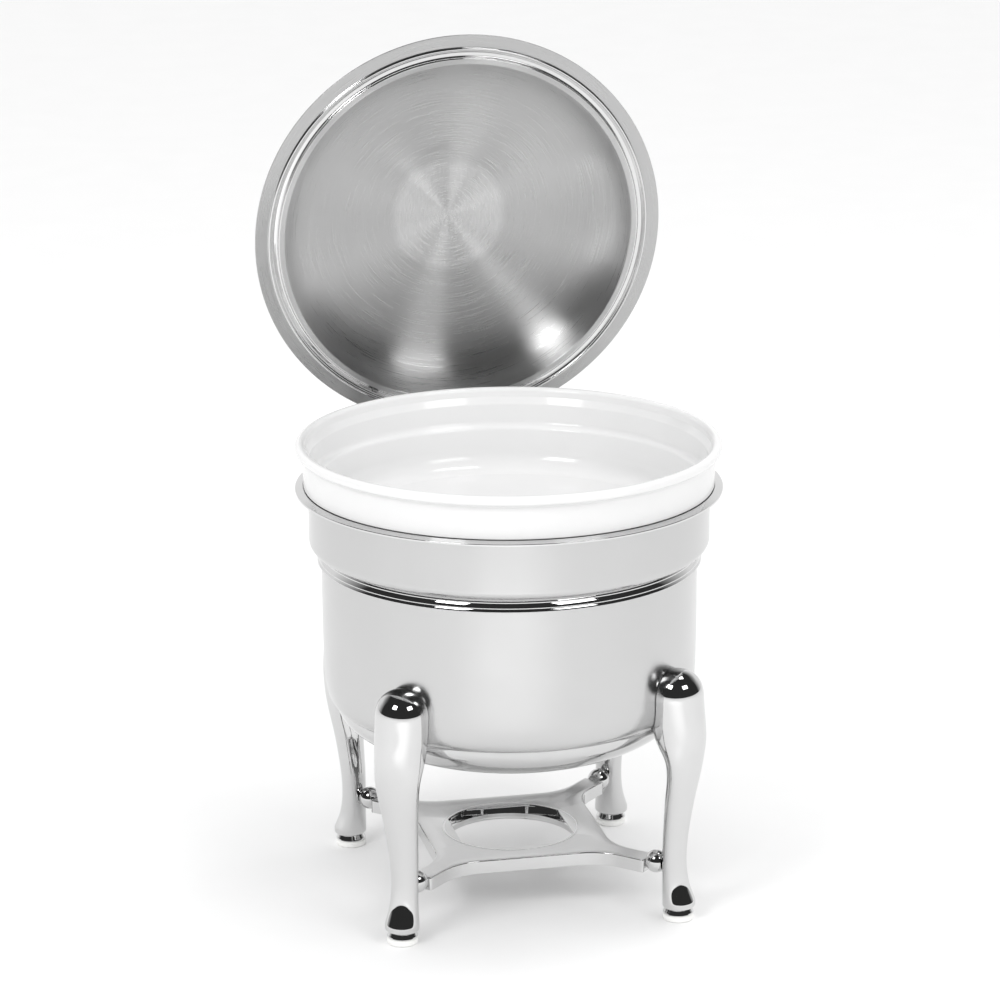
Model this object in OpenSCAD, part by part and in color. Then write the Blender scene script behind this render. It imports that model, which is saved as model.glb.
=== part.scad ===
// Round chafer on four cabriole legs: drum, lift-out water pan and food pan,
// a lid hinged at the back, and a lower plate with a well for a fuel can.
// Millimetres, +Z up, origin on the floor under the drum's axis, -Y is the front.

/* [Pans] */
// Height of the food pan's rim above the floor
rim_z = 335.7; // [300:0.1:370]
// Outside radius of the food pan's rolled rim
rim_r = 152.5; // [140:0.1:165]
// Outside radius of the food pan's upright collar
collar_r = 148; // [138:0.1:160]
// Height of the water pan's flange above the floor
flange_z = 305; // [280:0.1:320]
// Outside radius of the water pan's upper wall
water_r = 144; // [135:0.1:150]
// Outside radius of the water pan's well inside the drum
well_r = 131.5; // [120:0.1:133]
// Height of the underside of the water pan
well_z = 214; // [200:1:230]
// Height of the underside of the food pan
food_z = 271; // [266:1:285]
// Sheet thickness of the pans, lid and plate
sheet = 1.2; // [0.8:0.1:2]

/* [Drum] */
// Outside radius of the drum
drum_r = 135.2; // [120:0.1:145]
// Wall thickness of the drum
drum_t = 1.5; // [1:0.1:3]
// Height of the drum's upper edge
drum_top = 250; // [240:1:255]
// Height of the crease where the dished bottom starts
crease_z = 143.5; // [130:0.5:160]
// Radius of that crease
crease_r = 126; // [110:0.5:132]
// Depth of the dished bottom below the crease
dish_h = 40; // [20:0.5:60]

/* [Legs] */
// Knee: height, distance from the axis, half depth, half width
knee = [167, 140.6, 19.2, 19.2];
// Thigh: height, distance from the axis, half depth, half width
thigh = [139, 143.4, 18.8, 18];
// Calf: height, distance from the axis, half depth, half width
calf = [119, 147.2, 11.6, 17.2];
// Shin: height, distance from the axis, half depth, half width
shin = [86, 142.9, 9.3, 13.1];
// Ankle: height, distance from the axis, half depth, half width
ankle = [50, 139.3, 8.0, 10.4];
// Foot: height, distance from the axis, half depth, half width
foot = [15, 142.8, 10.5, 11.6];
// Height of the knee's rounded top
knee_top = 188; // [180:0.5:200]
// Height of the pad and ferrule under each foot
glide_h = 9.5; // [5:0.5:15]
// Radius of the leg screws
screw_r = 2.5; // [2:0.1:3]

/* [Lower plate] */
// Height of the plate's top face
plate_z = 42.2; // [30:0.1:60]
// Half width of the plate across its sides
plate_s = 64.4; // [55:0.1:75]
// Half width of the plate's corner arms
arm_w = 8.1; // [6:0.1:12]
// Distance of an arm's tip from the axis
arm_l = 118; // [110:0.1:122]
// Radius of the curve between a side and an arm
arm_f = 40; // [20:1:50]
// Depth of the plate's turned-down edge
skirt_h = 10; // [6:0.5:14]
// Radius of the hole in the plate
hole_r = 47.9; // [40:0.1:55]
// Inside radius of the fuel well
fuel_r = 46.5; // [40:0.1:50]
// Depth of the fuel well
fuel_h = 12; // [8:0.5:20]
// Radius of the ball spacers at the plate's corners
ball_r = 8.4; // [6:0.1:9]

/* [Lid and hinge] */
// Outside radius of the lid's flange
lid_r = 153.7; // [150:0.1:158]
// Inside radius of the lid's flat flange
lid_flat_r = 145.6; // [143:0.1:148]
// Radius where the dome starts
dome_r = 131.5; // [120:0.5:135]
// Height of the dome inside, above the lid's lowest ring
dome_h = 41; // [25:1:70]
// Gap between the closed lid and the food pan's rim
lid_gap = 2.2; // [0.4:0.1:3]
// Distance of the hinge line behind the drum's axis
hinge_y = 150.5; // [150:0.1:158]
// Height of the hinge line
hinge_z = 297.06; // [290:0.01:300]
// Angle the lid opens
lid_open = 81.74; // [60:0.01:90]
// Radius of the hinge pins
pin_r = 3; // [2:0.1:4]
// Distance of each hinge arm from the middle
arm_x = 66; // [62:1:72]
// Width of each hinge arm
arm_t = 9; // [6:0.5:12]
// Length of the lid handle between its posts
handle_w = 78; // [60:1:110]

/* [Hidden] */
$fn = 96;
lid_z = rim_z + lid_gap;
chrome = [0.86, 0.87, 0.88];
steel = [0.78, 0.79, 0.80];
white = [0.96, 0.96, 0.95];
dark = [0.12, 0.12, 0.12];

// Points of an arc: centre x, centre y, radius x, radius y, from, to, steps.
function arc(cx, cy, rx, ry, a0, a1, n) =
  [for (i = [0 : n]) let (a = a0 + (a1 - a0) * i / n) [cx + rx * cos(a), cy + ry * sin(a)]];

// ---------------------------------------------------------------- drum
// Outside line of the drum from the bottom's middle to the top, grown by g.
function drum_line(g) = concat(
  [[0, crease_z - dish_h - g]],
  [for (i = [1 : 14]) let (a = 90 * i / 14)
    [(crease_r + g) * sin(a), crease_z - (dish_h + g) * cos(a)]],
  [[crease_r + 3.6 + g, crease_z + 3.2],
   [crease_r + 6.4 + g, crease_z + 9],
   [crease_r + 8.2 + g, crease_z + 20],
   [drum_r - 0.3 + g, crease_z + 45],
   [drum_r + g, crease_z + 70]]);

module drum_solid(g, top) {
  rotate_extrude()
    polygon(concat(drum_line(g), [[drum_r + g, top], [0, top]]));
}

// The drum's wall, from the crease up, and the dished bottom welded into it.
module drum_sheet() {
  difference() {
    drum_solid(0, drum_top);
    drum_solid(-drum_t, drum_top + 1);
  }
}

module drum_wall() {
  color(steel) difference() {
    drum_sheet();
    translate([0, 0, 90]) cylinder(r = 200, h = crease_z - 90);
    for (a = [0 : 90 : 270]) rotate([0, 0, a + 45]) for (z = [161, 177])
      translate([drum_r - 14, 0, z]) rotate([0, 90, 0]) cylinder(r = screw_r + 0.2, h = 20);
    for (a = [-22, -9, 9, 22]) rotate([0, 0, a]) for (z = [190])
      translate([0, drum_r - 6, z]) rotate([-90, 0, 0]) cylinder(r = 2.2, h = 12);
  }
}

module drum_bottom() {
  color(steel) difference() {
    drum_sheet();
    translate([0, 0, crease_z]) cylinder(r = 200, h = 200);
  }
}

module body_mouth_ring() {
  color(chrome) rotate_extrude() difference() {
    union() {
      translate([drum_r + 0.4, drum_top + 7.3]) circle(r = 2.6, $fn = 40);
      translate([drum_r - 0.1, drum_top + 3]) circle(r = 1.5, $fn = 32);
      translate([drum_r - drum_t, drum_top]) square([drum_t, 8]);
      translate([drum_r - drum_t, drum_top + 4]) square([drum_t + 1.4, 4]);
    }
    translate([0, drum_top - 10]) square([drum_r + 10, 10]);
  }
}

// ---------------------------------------------------------------- legs
stations = [foot, ankle, shin, calf, thigh, knee];

// Smooth value of column k between stations i and i + 1.
function slope(i, k) = i == 0 || i == 5 ? 0 :
  (stations[i + 1][k] - stations[i - 1][k]) / (stations[i + 1][0] - stations[i - 1][0]);
function seg(z) = z < ankle[0] ? 0 : z < shin[0] ? 1 : z < calf[0] ? 2 : z < thigh[0] ? 3 : 4;
function hermite(z, k) =
  z <= foot[0] ? foot[k] : z >= knee[0] ? knee[k] :
  let (i = seg(z), h = stations[i + 1][0] - stations[i][0], t = (z - stations[i][0]) / h)
  stations[i][k] * (1 + 2 * t) * pow(1 - t, 2) + stations[i + 1][k] * t * t * (3 - 2 * t)
  + h * slope(i, k) * t * pow(1 - t, 2) - h * slope(i + 1, k) * t * t * (1 - t);
// The knee closes as a half ellipsoid, and the toe's edge is rolled.
function cap(z) = z > knee[0] ? pow(max(0.00003, 1 - pow((z - knee[0]) / (knee_top - knee[0]), 2.3)), 1 / 2.3) :
  z < glide_h + 2 ? 1 - 0.12 * pow((glide_h + 2 - z) / 2, 2) : 1;

leg_levels = concat([for (i = [0 : 2]) glide_h + i],
  [for (i = [0 : 21]) 14 + (knee[0] - 14) * i / 21],
  [for (i = [1 : 8]) knee[0] + (knee_top - knee[0]) * sin(90 * i / 8)]);
leg_sides = 28;

module leg_loft() {
  n = len(leg_levels); m = leg_sides;
  pts = [for (z = leg_levels) for (j = [0 : m - 1]) let (a = 360 * j / m)
    [hermite(z, 1) + hermite(z, 2) * cap(z) * cos(a), hermite(z, 3) * cap(z) * sin(a), z]];
  faces = concat(
    [[for (j = [0 : m - 1]) j]],
    [for (i = [0 : n - 2]) for (j = [0 : m - 1]) let (k = (j + 1) % m)
      [i * m + j, (i + 1) * m + j, (i + 1) * m + k, i * m + k]],
    [[for (j = [m - 1 : -1 : 0]) (n - 1) * m + j]]);
  polyhedron(pts, faces, convexity = 6);
}

// One leg, turned to its corner. The knee is cut to seat on the drum.
module leg(a) {
  color(chrome) difference() {
    rotate([0, 0, a]) leg_loft();
    drum_solid(0.12, 215);
    rotate([0, 0, a]) for (z = [161, 177])
      translate([drum_r - 14, 0, z]) rotate([0, 90, 0]) cylinder(r = screw_r + 0.1, h = 27, $fn = 24);
    rotate([0, 0, a]) translate([120, 0, plate_z - 5.2])
      rotate([0, 90, 0]) cylinder(r = 2.1, h = 18, $fn = 24);
  }
}

module leg_front_left() leg(225);
module leg_front_right() leg(315);
module leg_rear_left() leg(135);
module leg_rear_right() leg(45);

module foot_ferrules() {
  color(steel) for (a = [45 : 90 : 315]) rotate([0, 0, a]) translate([foot[1], 0, 0])
    rotate_extrude() polygon([[0, 5], [8.6, 5], [9.2, 5.6], [9.4, 7.2], [9.2, 9.5], [0, 9.5]]);
}

module foot_pads() {
  color(white) for (a = [45 : 90 : 315]) rotate([0, 0, a]) translate([foot[1], 0, 0])
    rotate_extrude() polygon(concat([[0, 0]], arc(9.6, 1.4, 1.4, 1.4, -90, 0, 5),
      arc(9.6, 3.6, 1.4, 1.4, 0, 90, 5), [[0, 5]]));
}

module leg_screws() {
  color(steel) for (a = [45 : 90 : 315]) rotate([0, 0, a]) for (z = [161, 177])
    rotate([0, 90, 0]) translate([-z, 0, 0]) {
      s = seat_r(z) - 1.2;
      translate([0, 0, s]) cylinder(r = screw_r, h = 145 - s, $fn = 32);
      translate([0, 0, s - 2.6]) cylinder(r1 = 3.2, r2 = 4.4, h = 2.6, $fn = 32);
    }
}
// Radius at which a flat washer clears the drum's curved inside.
function seat_r(z) = (z < 170 ? crease_r + 6.7 : crease_r + 8.2) - drum_t;

module leg_washers() {
  color(steel) for (a = [45 : 90 : 315]) rotate([0, 0, a]) for (z = [161, 177])
    translate([seat_r(z) - 1.2, 0, z]) rotate([0, 90, 0]) difference() {
      cylinder(r = 5.2, h = 1.2, $fn = 40);
      translate([0, 0, -1]) cylinder(r = screw_r + 0.1, h = 4, $fn = 32);
    }
}

// ---------------------------------------------------------------- lower plate
// A quarter of the plate's outline, drawn in by t, then the other three.
function quarter(t) = let (s = plate_s - t, w = arm_w - t, f = arm_f + t, l = arm_l - t,
    c = s + f - w * sqrt(2) - f * sqrt(2), q = sqrt(0.5))
  concat([for (i = [0 : 10]) let (a = 270 + 45 * i / 10) [c + f * cos(a), s + f + f * sin(a)]],
    [[(l - w) * q, (l + w) * q], [(l + w) * q, (l - w) * q]],
    [for (i = [10 : -1 : 0]) let (a = 270 + 45 * i / 10) [s + f + f * sin(a), c + f * cos(a)]]);
function turn(p, a) = [for (v = p) [v[0] * cos(a) + v[1] * sin(a), v[1] * cos(a) - v[0] * sin(a)]];
function star(t) = concat(quarter(t), turn(quarter(t), 90), turn(quarter(t), 180), turn(quarter(t), 270));

module fuel_plate() {
  color(chrome) difference() {
    translate([0, 0, plate_z - skirt_h]) linear_extrude(skirt_h) polygon(star(0));
    translate([0, 0, plate_z - skirt_h - 1]) linear_extrude(skirt_h + 1 - sheet) polygon(star(sheet));
    translate([0, 0, plate_z - 5]) cylinder(r = hole_r, h = 10);
    for (a = [45 : 90 : 315]) rotate([0, 0, a]) translate([arm_l - 5, 0, plate_z - 5.2])
      rotate([0, 90, 0]) cylinder(r = 2.1, h = 10, $fn = 32);
  }
}

module fuel_well_ring() {
  color(chrome) rotate_extrude() difference() {
    union() {
      translate([fuel_r, plate_z - fuel_h]) square([sheet, fuel_h + 0.75]);
      translate([fuel_r + 1.3, plate_z - fuel_h + 1.3]) circle(r = 1.3, $fn = 32);
      translate([fuel_r + 0.9, plate_z + 0.75]) circle(r = 0.9, $fn = 32);
      translate([fuel_r + 0.9, plate_z]) square([2.6, 0.7]);
    }
    translate([fuel_r - 20, 0]) square([20 - 3.5, 60]);
  }
}

module plate_balls() {
  c = arm_l + 6.7;
  color(chrome) for (a = [45 : 90 : 315]) rotate([0, 0, a]) difference() {
    translate([c, 0, plate_z - 2]) sphere(r = ball_r, $fn = 64);
    translate([arm_l - 20.05, -20, 0]) cube([20.1, 40, 80]);
    translate([c + 6.45, -20, 0]) cube([20, 40, 80]);
    translate([c - 10, 0, plate_z - 5.2]) rotate([0, 90, 0]) cylinder(r = 2.1, h = 20, $fn = 32);
  }
}

module plate_studs() {
  color(steel) for (a = [45 : 90 : 315]) rotate([0, 0, a])
    translate([arm_l - 6.5, 0, plate_z - 5.2]) rotate([0, 90, 0]) cylinder(r = 2, h = 24, $fn = 32);
}

module plate_nuts() {
  color(steel) for (a = [45 : 90 : 315]) rotate([0, 0, a])
    translate([arm_l - sheet - 3.3, 0, plate_z - 5.2]) rotate([0, 90, 0]) difference() {
      cylinder(r = 4, h = 3.2, $fn = 6);
      translate([0, 0, -1]) cylinder(r = 2.05, h = 6, $fn = 32);
    }
}

// ---------------------------------------------------------------- hinge
// A point given in the lid's closed frame about the hinge line, turned open.
function opened(p) = [p[0] * cos(lid_open) + p[1] * sin(lid_open),
                      p[1] * cos(lid_open) - p[0] * sin(lid_open)];
back_y = 4; // how far the arm's back face stands behind the hinge line
pad_h = 2.4;

// Draws a shape given in (y, z) as a plate of thickness t whose middle is at x.
module slab(x, t) { translate([x - t / 2, 0, 0]) rotate([90, 0, 90]) linear_extrude(t) children(); }

module ear(x) {
  e = [hinge_y, hinge_z];
  difference() {
    union() {
      slab(x, 4) polygon([[100, 176], [128, 176], [138, 206], [154, 262], [157.5, 297.06],
        [143.5, 297.06], [138, 262], [100, 206]]);
      translate([x - 2, hinge_y, hinge_z]) rotate([0, 90, 0]) cylinder(r = 7, h = 4);
    }
    translate([x - 5, hinge_y, hinge_z]) rotate([0, 90, 0]) cylinder(r = pin_r + 0.02, h = 10);
  }
}

// Shelf between a pair of ears, square to the open arm's back face.
module shelf(x) {
  a = opened([back_y + 0.4 + pad_h, 10]); b = opened([back_y + 0.4 + pad_h, 20]);
  slab(x, arm_t + 2.4) polygon([
    [hinge_y + a[0], hinge_z + a[1]], [hinge_y + b[0], hinge_z + b[1]],
    [hinge_y + b[0] - 1, hinge_z + b[1] - 4], [hinge_y + 2.5, hinge_z - 22],
    [hinge_y - 4.5, hinge_z - 26], [hinge_y - 2.5, hinge_z - 12]]);
}

module hinge_plate() {
  color(chrome) difference() {
    rotate([0, 0, 58]) rotate_extrude(angle = 64)
      translate([drum_r + 0.1, 172]) square([2.6, 34]);
    for (a = [-22, -9, 9, 22]) rotate([0, 0, a])
      translate([0, drum_r - 6, 190]) rotate([-90, 0, 0]) cylinder(r = 2.2, h = 12);
  }
}

module hinge_ears() {
  color(chrome) difference() {
    for (s = [-1, 1]) {
      ear(s * arm_x - arm_t / 2 - 3.2);
      ear(s * arm_x + arm_t / 2 + 3.2);
      shelf(s * arm_x);
    }
    translate([0, 0, 150]) cylinder(r = drum_r + 0.1, h = 101);
    translate([0, 0, 170]) cylinder(r = drum_r + 2.72, h = 36.02);
    translate([0, 0, 240]) cylinder(r = drum_r + 4.2, h = 21);
    translate([0, 0, 258]) cylinder(r = water_r + 1, h = 80);
  }
}

module bracket_screws() {
  color(steel) for (a = [-22, -9, 9, 22]) rotate([0, 0, a]) translate([0, 0, 190])
    rotate([-90, 0, 0]) {
      translate([0, 0, drum_r - 7]) cylinder(r = 2, h = 10, $fn = 32);
      translate([0, 0, drum_r + 3]) cylinder(r1 = 4.2, r2 = 3, h = 2.4, $fn = 32);
    }
}

module bracket_nuts() {
  color(steel) for (a = [-22, -9, 9, 22]) rotate([0, 0, a]) translate([0, 0, 190])
    rotate([-90, 0, 0]) translate([0, 0, drum_r - drum_t - 3.6]) difference() {
      cylinder(r = 4, h = 3.2, $fn = 6);
      translate([0, 0, -1]) cylinder(r = 2.05, h = 6, $fn = 32);
    }
}

module hinge_pins() {
  color(steel) for (s = [-1, 1]) translate([s * arm_x, hinge_y, hinge_z]) rotate([0, 90, 0]) {
    translate([0, 0, -arm_t / 2 - 5.2]) cylinder(r = pin_r, h = arm_t + 10.4);
    translate([0, 0, -arm_t / 2 - 7.2]) cylinder(r1 = 3.8, r2 = 4.6, h = 2);
    translate([0, 0, arm_t / 2 + 5.2]) cylinder(r1 = 4.6, r2 = 3.8, h = 2);
  }
}

module hinge_washers() {
  color(white) for (s = [-1, 1]) for (e = [-1, 1])
    translate([s * arm_x + e * (arm_t / 2 + 0.6) - 0.35, hinge_y, hinge_z])
      rotate([0, 90, 0]) difference() {
        cylinder(r = 6, h = 0.7);
        translate([0, 0, -1]) cylinder(r = pin_r + 0.02, h = 3);
      }
}

module stop_pads() {
  color(dark) for (s = [-1, 1]) translate([s * arm_x, hinge_y, hinge_z])
    rotate([-lid_open, 0, 0]) translate([0, back_y + 0.4, 15]) rotate([-90, 0, 0])
      cylinder(r = 3.6, h = pad_h, $fn = 40);
}

// ---------------------------------------------------------------- pans
module water_pan() {
  t = sheet; r = water_r; z = flange_z;
  color(steel) rotate_extrude() union() {
    polygon(concat(
      [[0, well_z], [well_r - 16, well_z]], arc(well_r - 16, well_z + 16, 16, 16, -90, 0, 8),
      [[well_r, 258.6]], arc(well_r + 1.5, 258.6, 1.5, 1.5, 180, 90, 4),
      [[r - 8.5, 260.1]], arc(r - 8, 268.1, 8, 8, -90, 0, 8),
      [[r, z - 2.7]], arc(r + 1.5, z - 2.7, 1.5, 1.5, 180, 90, 4),
      [[rim_r - 1.4, z - t], [rim_r - 1.4, z], [r - t + 2.7, z]],
      arc(r - t + 2.7, z - 2.7, 2.7, 2.7, 90, 180, 6),
      [[r - t, 268.1]], arc(r - 8, 268.1, 8 - t, 8 - t, 0, -90, 8),
      [[r - 8.5, 260.1 + t], [well_r + 1.5, 260.1 + t]],
      arc(well_r + 1.5, 258.6, 2.7, 2.7, 90, 180, 6),
      arc(well_r - 16, well_z + 16, 16 - t, 16 - t, 0, -90, 8), [[0, well_z + t]]));
    translate([rim_r - 1.4, z - 1.2]) circle(r = 1.4, $fn = 32);
  }
}

module food_pan() {
  c = collar_r; z = flange_z + 0.2;
  color(white) rotate_extrude() polygon(concat(
    [[0, food_z], [112, food_z]], arc(118, food_z + 18, 20, 18, -90, -8, 5),
    [[140.4, 300], [141.2, z], [c - 3.4, z]], arc(c - 2.6, z + 2, 2, 2, -90, 0, 3),
    [[c, 327.6], [c + 0.5, 329.2]],
    arc(rim_r - 3.1, 332.6, 3.1, 3.1, -62, 180, 12),
    [[c - 2.6, 330.2], [c - 4.4, 326]],
    arc(c - 9, z + 7.8, 4, 4, 0, -70, 4), [[137.4, 307.8], [136.4, 304], [135.6, 297.4]],
    arc(119.5, food_z + 24, 15.6, 18, 2, -90, 7), [[0, food_z + 6]]));
}

// ---------------------------------------------------------------- lid
// Places a piece drawn closed at its open rest position.
module opened_lid() {
  translate([0, hinge_y, hinge_z]) rotate([-lid_open, 0, 0])
    translate([0, -hinge_y, -hinge_z]) children();
}
function dome_in(r) = lid_z - 2 + dome_h * sqrt(max(0, 1 - pow(r / dome_r, 4)));
function dome_out(r) = lid_z - 2 + (dome_h + sheet) * sqrt(max(0, 1 - pow(r / (dome_r + sheet), 4)));

module lid_shell() {
  z = lid_z; t = sheet; q = dome_r;
  // inside from the middle out, then back along the outside
  inner = concat(
    [for (i = [0 : 12]) let (r = q * sin(68 * i / 12)) [r, dome_in(r)]],
    [for (i = [1 : 10]) let (k = i / 10, r = q * (sin(68) + (1 - sin(68)) * (1 - pow(1 - k, 2.2)))) [r, dome_in(r)]],
    [[q + 0.4, z - 2.05], [q + 4.6, z - 2.05]],
    arc(lid_flat_r - 3.2, z - 7.0, 6.4, 6.4, 128, 92, 6),
    arc(lid_flat_r - 1.9, z - 0.35, 0.75, 0.4, 180, 0, 4),
    [[lid_flat_r, z], [lid_r - 0.5, z], [lid_r, z + 0.35]]);
  outer = concat(
    [[lid_r, z + t - 0.35], [lid_r - 0.5, z + t], [lid_flat_r - 0.5, z + t]],
    [[lid_flat_r - 4, z + t - 0.5], [lid_flat_r - 8, z + t - 1.3], [q + 4, z - 0.7], [q + t + 0.2, z - 0.7]],
    [for (i = [9 : -1 : 1]) let (k = i / 10, r = (q + t) * (sin(68) + (1 - sin(68)) * (1 - pow(1 - k, 2.2)))) [r, dome_out(r)]],
    [for (i = [12 : -1 : 0]) let (r = (q + t) * sin(68 * i / 12)) [r, dome_out(r)]]);
  color(steel) opened_lid() rotate_extrude() polygon(concat(inner, outer));
}

module hinge_arm(s) {
  h = lid_z + sheet - hinge_z;
  y1 = sqrt(pow(lid_r, 2) - pow(arm_x, 2)) - hinge_y;
  color(chrome) opened_lid() difference() {
    union() {
      translate([s * arm_x - arm_t / 2, hinge_y, hinge_z]) rotate([0, 90, 0]) cylinder(r = 6, h = arm_t);
      translate([0, hinge_y, hinge_z]) slab(s * arm_x, arm_t) polygon(concat(
        [[-5.4, 2], [-5.4, h - 6]], arc(-11.4, h - 6, 6, 6.05, 0, 90, 5),
        [[y1 - 7.2, h + 0.05], [y1 - 7.2, h + 2.0], [y1 - 4, h + 3.2], [-8, h + 3.2]],
        arc(-8, h - 8.8, 12, 12, 90, 0, 6), [[4, 0]]));
    }
    translate([s * arm_x - 10, hinge_y, hinge_z]) rotate([0, 90, 0]) cylinder(r = pin_r + 0.05, h = 20);
  }
}
module hinge_arm_left() hinge_arm(-1);
module hinge_arm_right() hinge_arm(1);

handle_y = -84;
handle_z = lid_z + dome_h + 26;
module lid_handle_bar() {
  color(chrome) opened_lid() translate([0, handle_y, handle_z]) rotate([0, 90, 0])
    rotate_extrude() polygon(concat([[0, -handle_w / 2 - 10]],
      arc(0, -handle_w / 2 - 4, 6, 6, -75, 0, 6),
      [for (i = [-5 : 5]) [6 + 1.6 * cos(18 * i), i * handle_w / 11]],
      arc(0, handle_w / 2 + 4, 6, 6, 0, 75, 6), [[0, handle_w / 2 + 10]]));
}

module lid_handle_posts() {
  color(chrome) opened_lid() difference() {
    for (s = [-1, 1]) translate([s * handle_w / 2, handle_y, 0]) rotate_extrude()
      polygon([[0, lid_z + 20], [8, lid_z + 20], [8, lid_z + dome_h - 8], [6.4, lid_z + dome_h - 4],
        [4.2, lid_z + dome_h + 4], [4, handle_z], [0, handle_z]]);
    rotate_extrude() polygon(concat([[0, 0], [dome_r + sheet, 0]],
      [for (i = [24 : -1 : 0]) let (r = (dome_r + sheet) * sin(90 * i / 24)) [r, dome_out(r) + 0.05]]));
    translate([-handle_w, handle_y, handle_z]) rotate([0, 90, 0]) cylinder(r = 6.05, h = 2 * handle_w);
  }
}

drum_wall();
drum_bottom();
body_mouth_ring();
leg_front_left();
leg_front_right();
leg_rear_left();
leg_rear_right();
foot_ferrules();
foot_pads();
leg_screws();
leg_washers();
fuel_plate();
fuel_well_ring();
plate_balls();
plate_studs();
plate_nuts();
hinge_plate();
hinge_ears();
bracket_screws();
bracket_nuts();
hinge_pins();
hinge_washers();
stop_pads();
water_pan();
food_pan();
lid_shell();
hinge_arm_left();
hinge_arm_right();
lid_handle_bar();
lid_handle_posts();
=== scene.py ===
# %% [markdown]
# # A round chafer, piece by piece
#
# A chafer keeps food warm on a buffet. This one is a polished drum on four cabriole legs, with a
# water pan and a white food pan dropped into it, a shallow lid hinged at the back and standing
# open, and a lower plate with a well for the fuel holder.
#
# The frame comes first: it holds every part at its real size, already in place and already tied
# to the body that it moves with. The looks are then built round it. Nearly every visible piece
# here is turned on a lathe or pressed from round sheet, so most of the lesson is about one idea:
# a profile in (radius, height), carried round an axis.

import math

import bmesh
import bpy
import numpy as np
from mathutils import Matrix, Vector


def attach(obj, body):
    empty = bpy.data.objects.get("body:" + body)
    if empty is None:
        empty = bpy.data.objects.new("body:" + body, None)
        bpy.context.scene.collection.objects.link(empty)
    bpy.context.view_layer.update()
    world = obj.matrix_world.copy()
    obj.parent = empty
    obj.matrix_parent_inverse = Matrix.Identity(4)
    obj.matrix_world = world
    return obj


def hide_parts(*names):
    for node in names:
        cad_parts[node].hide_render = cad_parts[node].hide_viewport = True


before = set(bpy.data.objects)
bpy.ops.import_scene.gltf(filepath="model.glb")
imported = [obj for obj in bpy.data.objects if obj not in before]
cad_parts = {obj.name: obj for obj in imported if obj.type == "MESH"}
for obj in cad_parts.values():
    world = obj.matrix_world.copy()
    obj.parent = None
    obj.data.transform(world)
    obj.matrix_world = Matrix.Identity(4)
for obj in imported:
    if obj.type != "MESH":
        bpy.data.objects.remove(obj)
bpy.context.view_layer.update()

# %% [markdown]
# ## Small tools
#
# Workshop drawings are in millimetres and Blender's world is in metres, so every length below is
# written in millimetres and multiplied once, when a mesh is made. Colours are written as the hex
# values that a colour chart gives, which are sRGB, and one function turns them to the linear
# values that the shaders work in.

# %% Units and colours
MM = 0.001


def paint(hex_code):
    """sRGB hex to linear RGBA: c / 12.92 up to 0.04045, else ((c + 0.055) / 1.055) ** 2.4."""
    c = np.array([int(hex_code[i : i + 2], 16) for i in (1, 3, 5)]) / 255
    low, high = c / 12.92, ((c + 0.055) / 1.055) ** 2.4
    return (*np.where(c <= 0.04045, low, high).tolist(), 1.0)


# %% Nodes
def add(tree, kind, inputs=None, **settings):
    """Adds one node. inputs maps a socket's name or number to a value, or to an output to link."""
    n = tree.nodes.new(kind)
    for key, value in settings.items():
        setattr(n, key, value)
    for key, value in (inputs or {}).items():
        if isinstance(value, bpy.types.NodeSocket):
            tree.links.new(value, n.inputs[key])
        else:
            n.inputs[key].default_value = value
    return n


def blank_material(name):
    """A material with an empty node tree, and that tree."""
    material = bpy.data.materials.new(name)
    material.use_nodes = True
    material.node_tree.nodes.clear()
    return material, material.node_tree


# %% [markdown]
# ## Profiles
#
# A drawing of a pressed pan is a few straight runs with a bend radius at each corner. The first
# function turns such a list of corners into a fine line, bending each corner with a true arc. The
# second draws a free curve through given points, for a drum wall or a leg that has no straight
# runs. The third gives a line the thickness of its sheet. A bevel or a subdivision surface could
# round the corners too, but a true arc keeps the radius that the press tool gave, and a polished
# sheet shows every error in its radius. Everything is computed on whole arrays.


# %% Corners and bends
def bent(corners, closed=False, step=5.0):
    """Corners are (radius, height, bend). At a corner the arc of radius b starts
    b * tan(turn / 2) before it, and its centre lies b / cos(turn / 2) from it on the bisector.
    step is the arc's step in degrees."""
    pts = np.array(corners, float)
    out = []
    for i, (p, b) in enumerate(zip(pts[:, :2], pts[:, 2])):
        before, after = pts[i - 1, :2], pts[(i + 1) % len(pts), :2]
        if b <= 0 or (not closed and i in (0, len(pts) - 1)):
            out.append(p[None])
            continue
        back, on = np.linalg.norm(before - p), np.linalg.norm(after - p)
        u, v = (before - p) / back, (after - p) / on
        half = np.arccos(np.clip(u @ v, -1, 1)) / 2  # half the inside angle of the corner
        reach = min(b / np.tan(half), 0.49 * back, 0.49 * on)
        b = reach * np.tan(half)
        mid = p + (u + v) / np.linalg.norm(u + v) * b / np.sin(half)
        start, end, turn = p + u * reach - mid, p + v * reach - mid, np.pi - 2 * half
        sign = np.sign(start[0] * end[1] - start[1] * end[0])
        a = sign * np.linspace(0, turn, max(3, int(np.degrees(turn) / step) + 2))
        c, s = np.cos(a), np.sin(a)
        arc_points = mid + np.stack([start[0] * c - start[1] * s, start[0] * s + start[1] * c], 1)
        # a point just outside each end of the arc keeps the flat beside it flat
        hold = min(0.15, reach * 0.3)
        out.append(np.concatenate([[arc_points[0] + u * hold], arc_points,
                                   [arc_points[-1] + v * hold]]))
    return np.concatenate(out)


def arc(cr, cz, radius, start, end, n=14):
    """Points of a circle about (cr, cz): (cr + radius * cos t, cz + radius * sin t), with t from
    start to end in degrees, anticlockwise if end is the larger."""
    t = np.radians(np.linspace(start, end, n))
    return np.stack([cr + radius * np.cos(t), cz + radius * np.sin(t)], 1)


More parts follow.
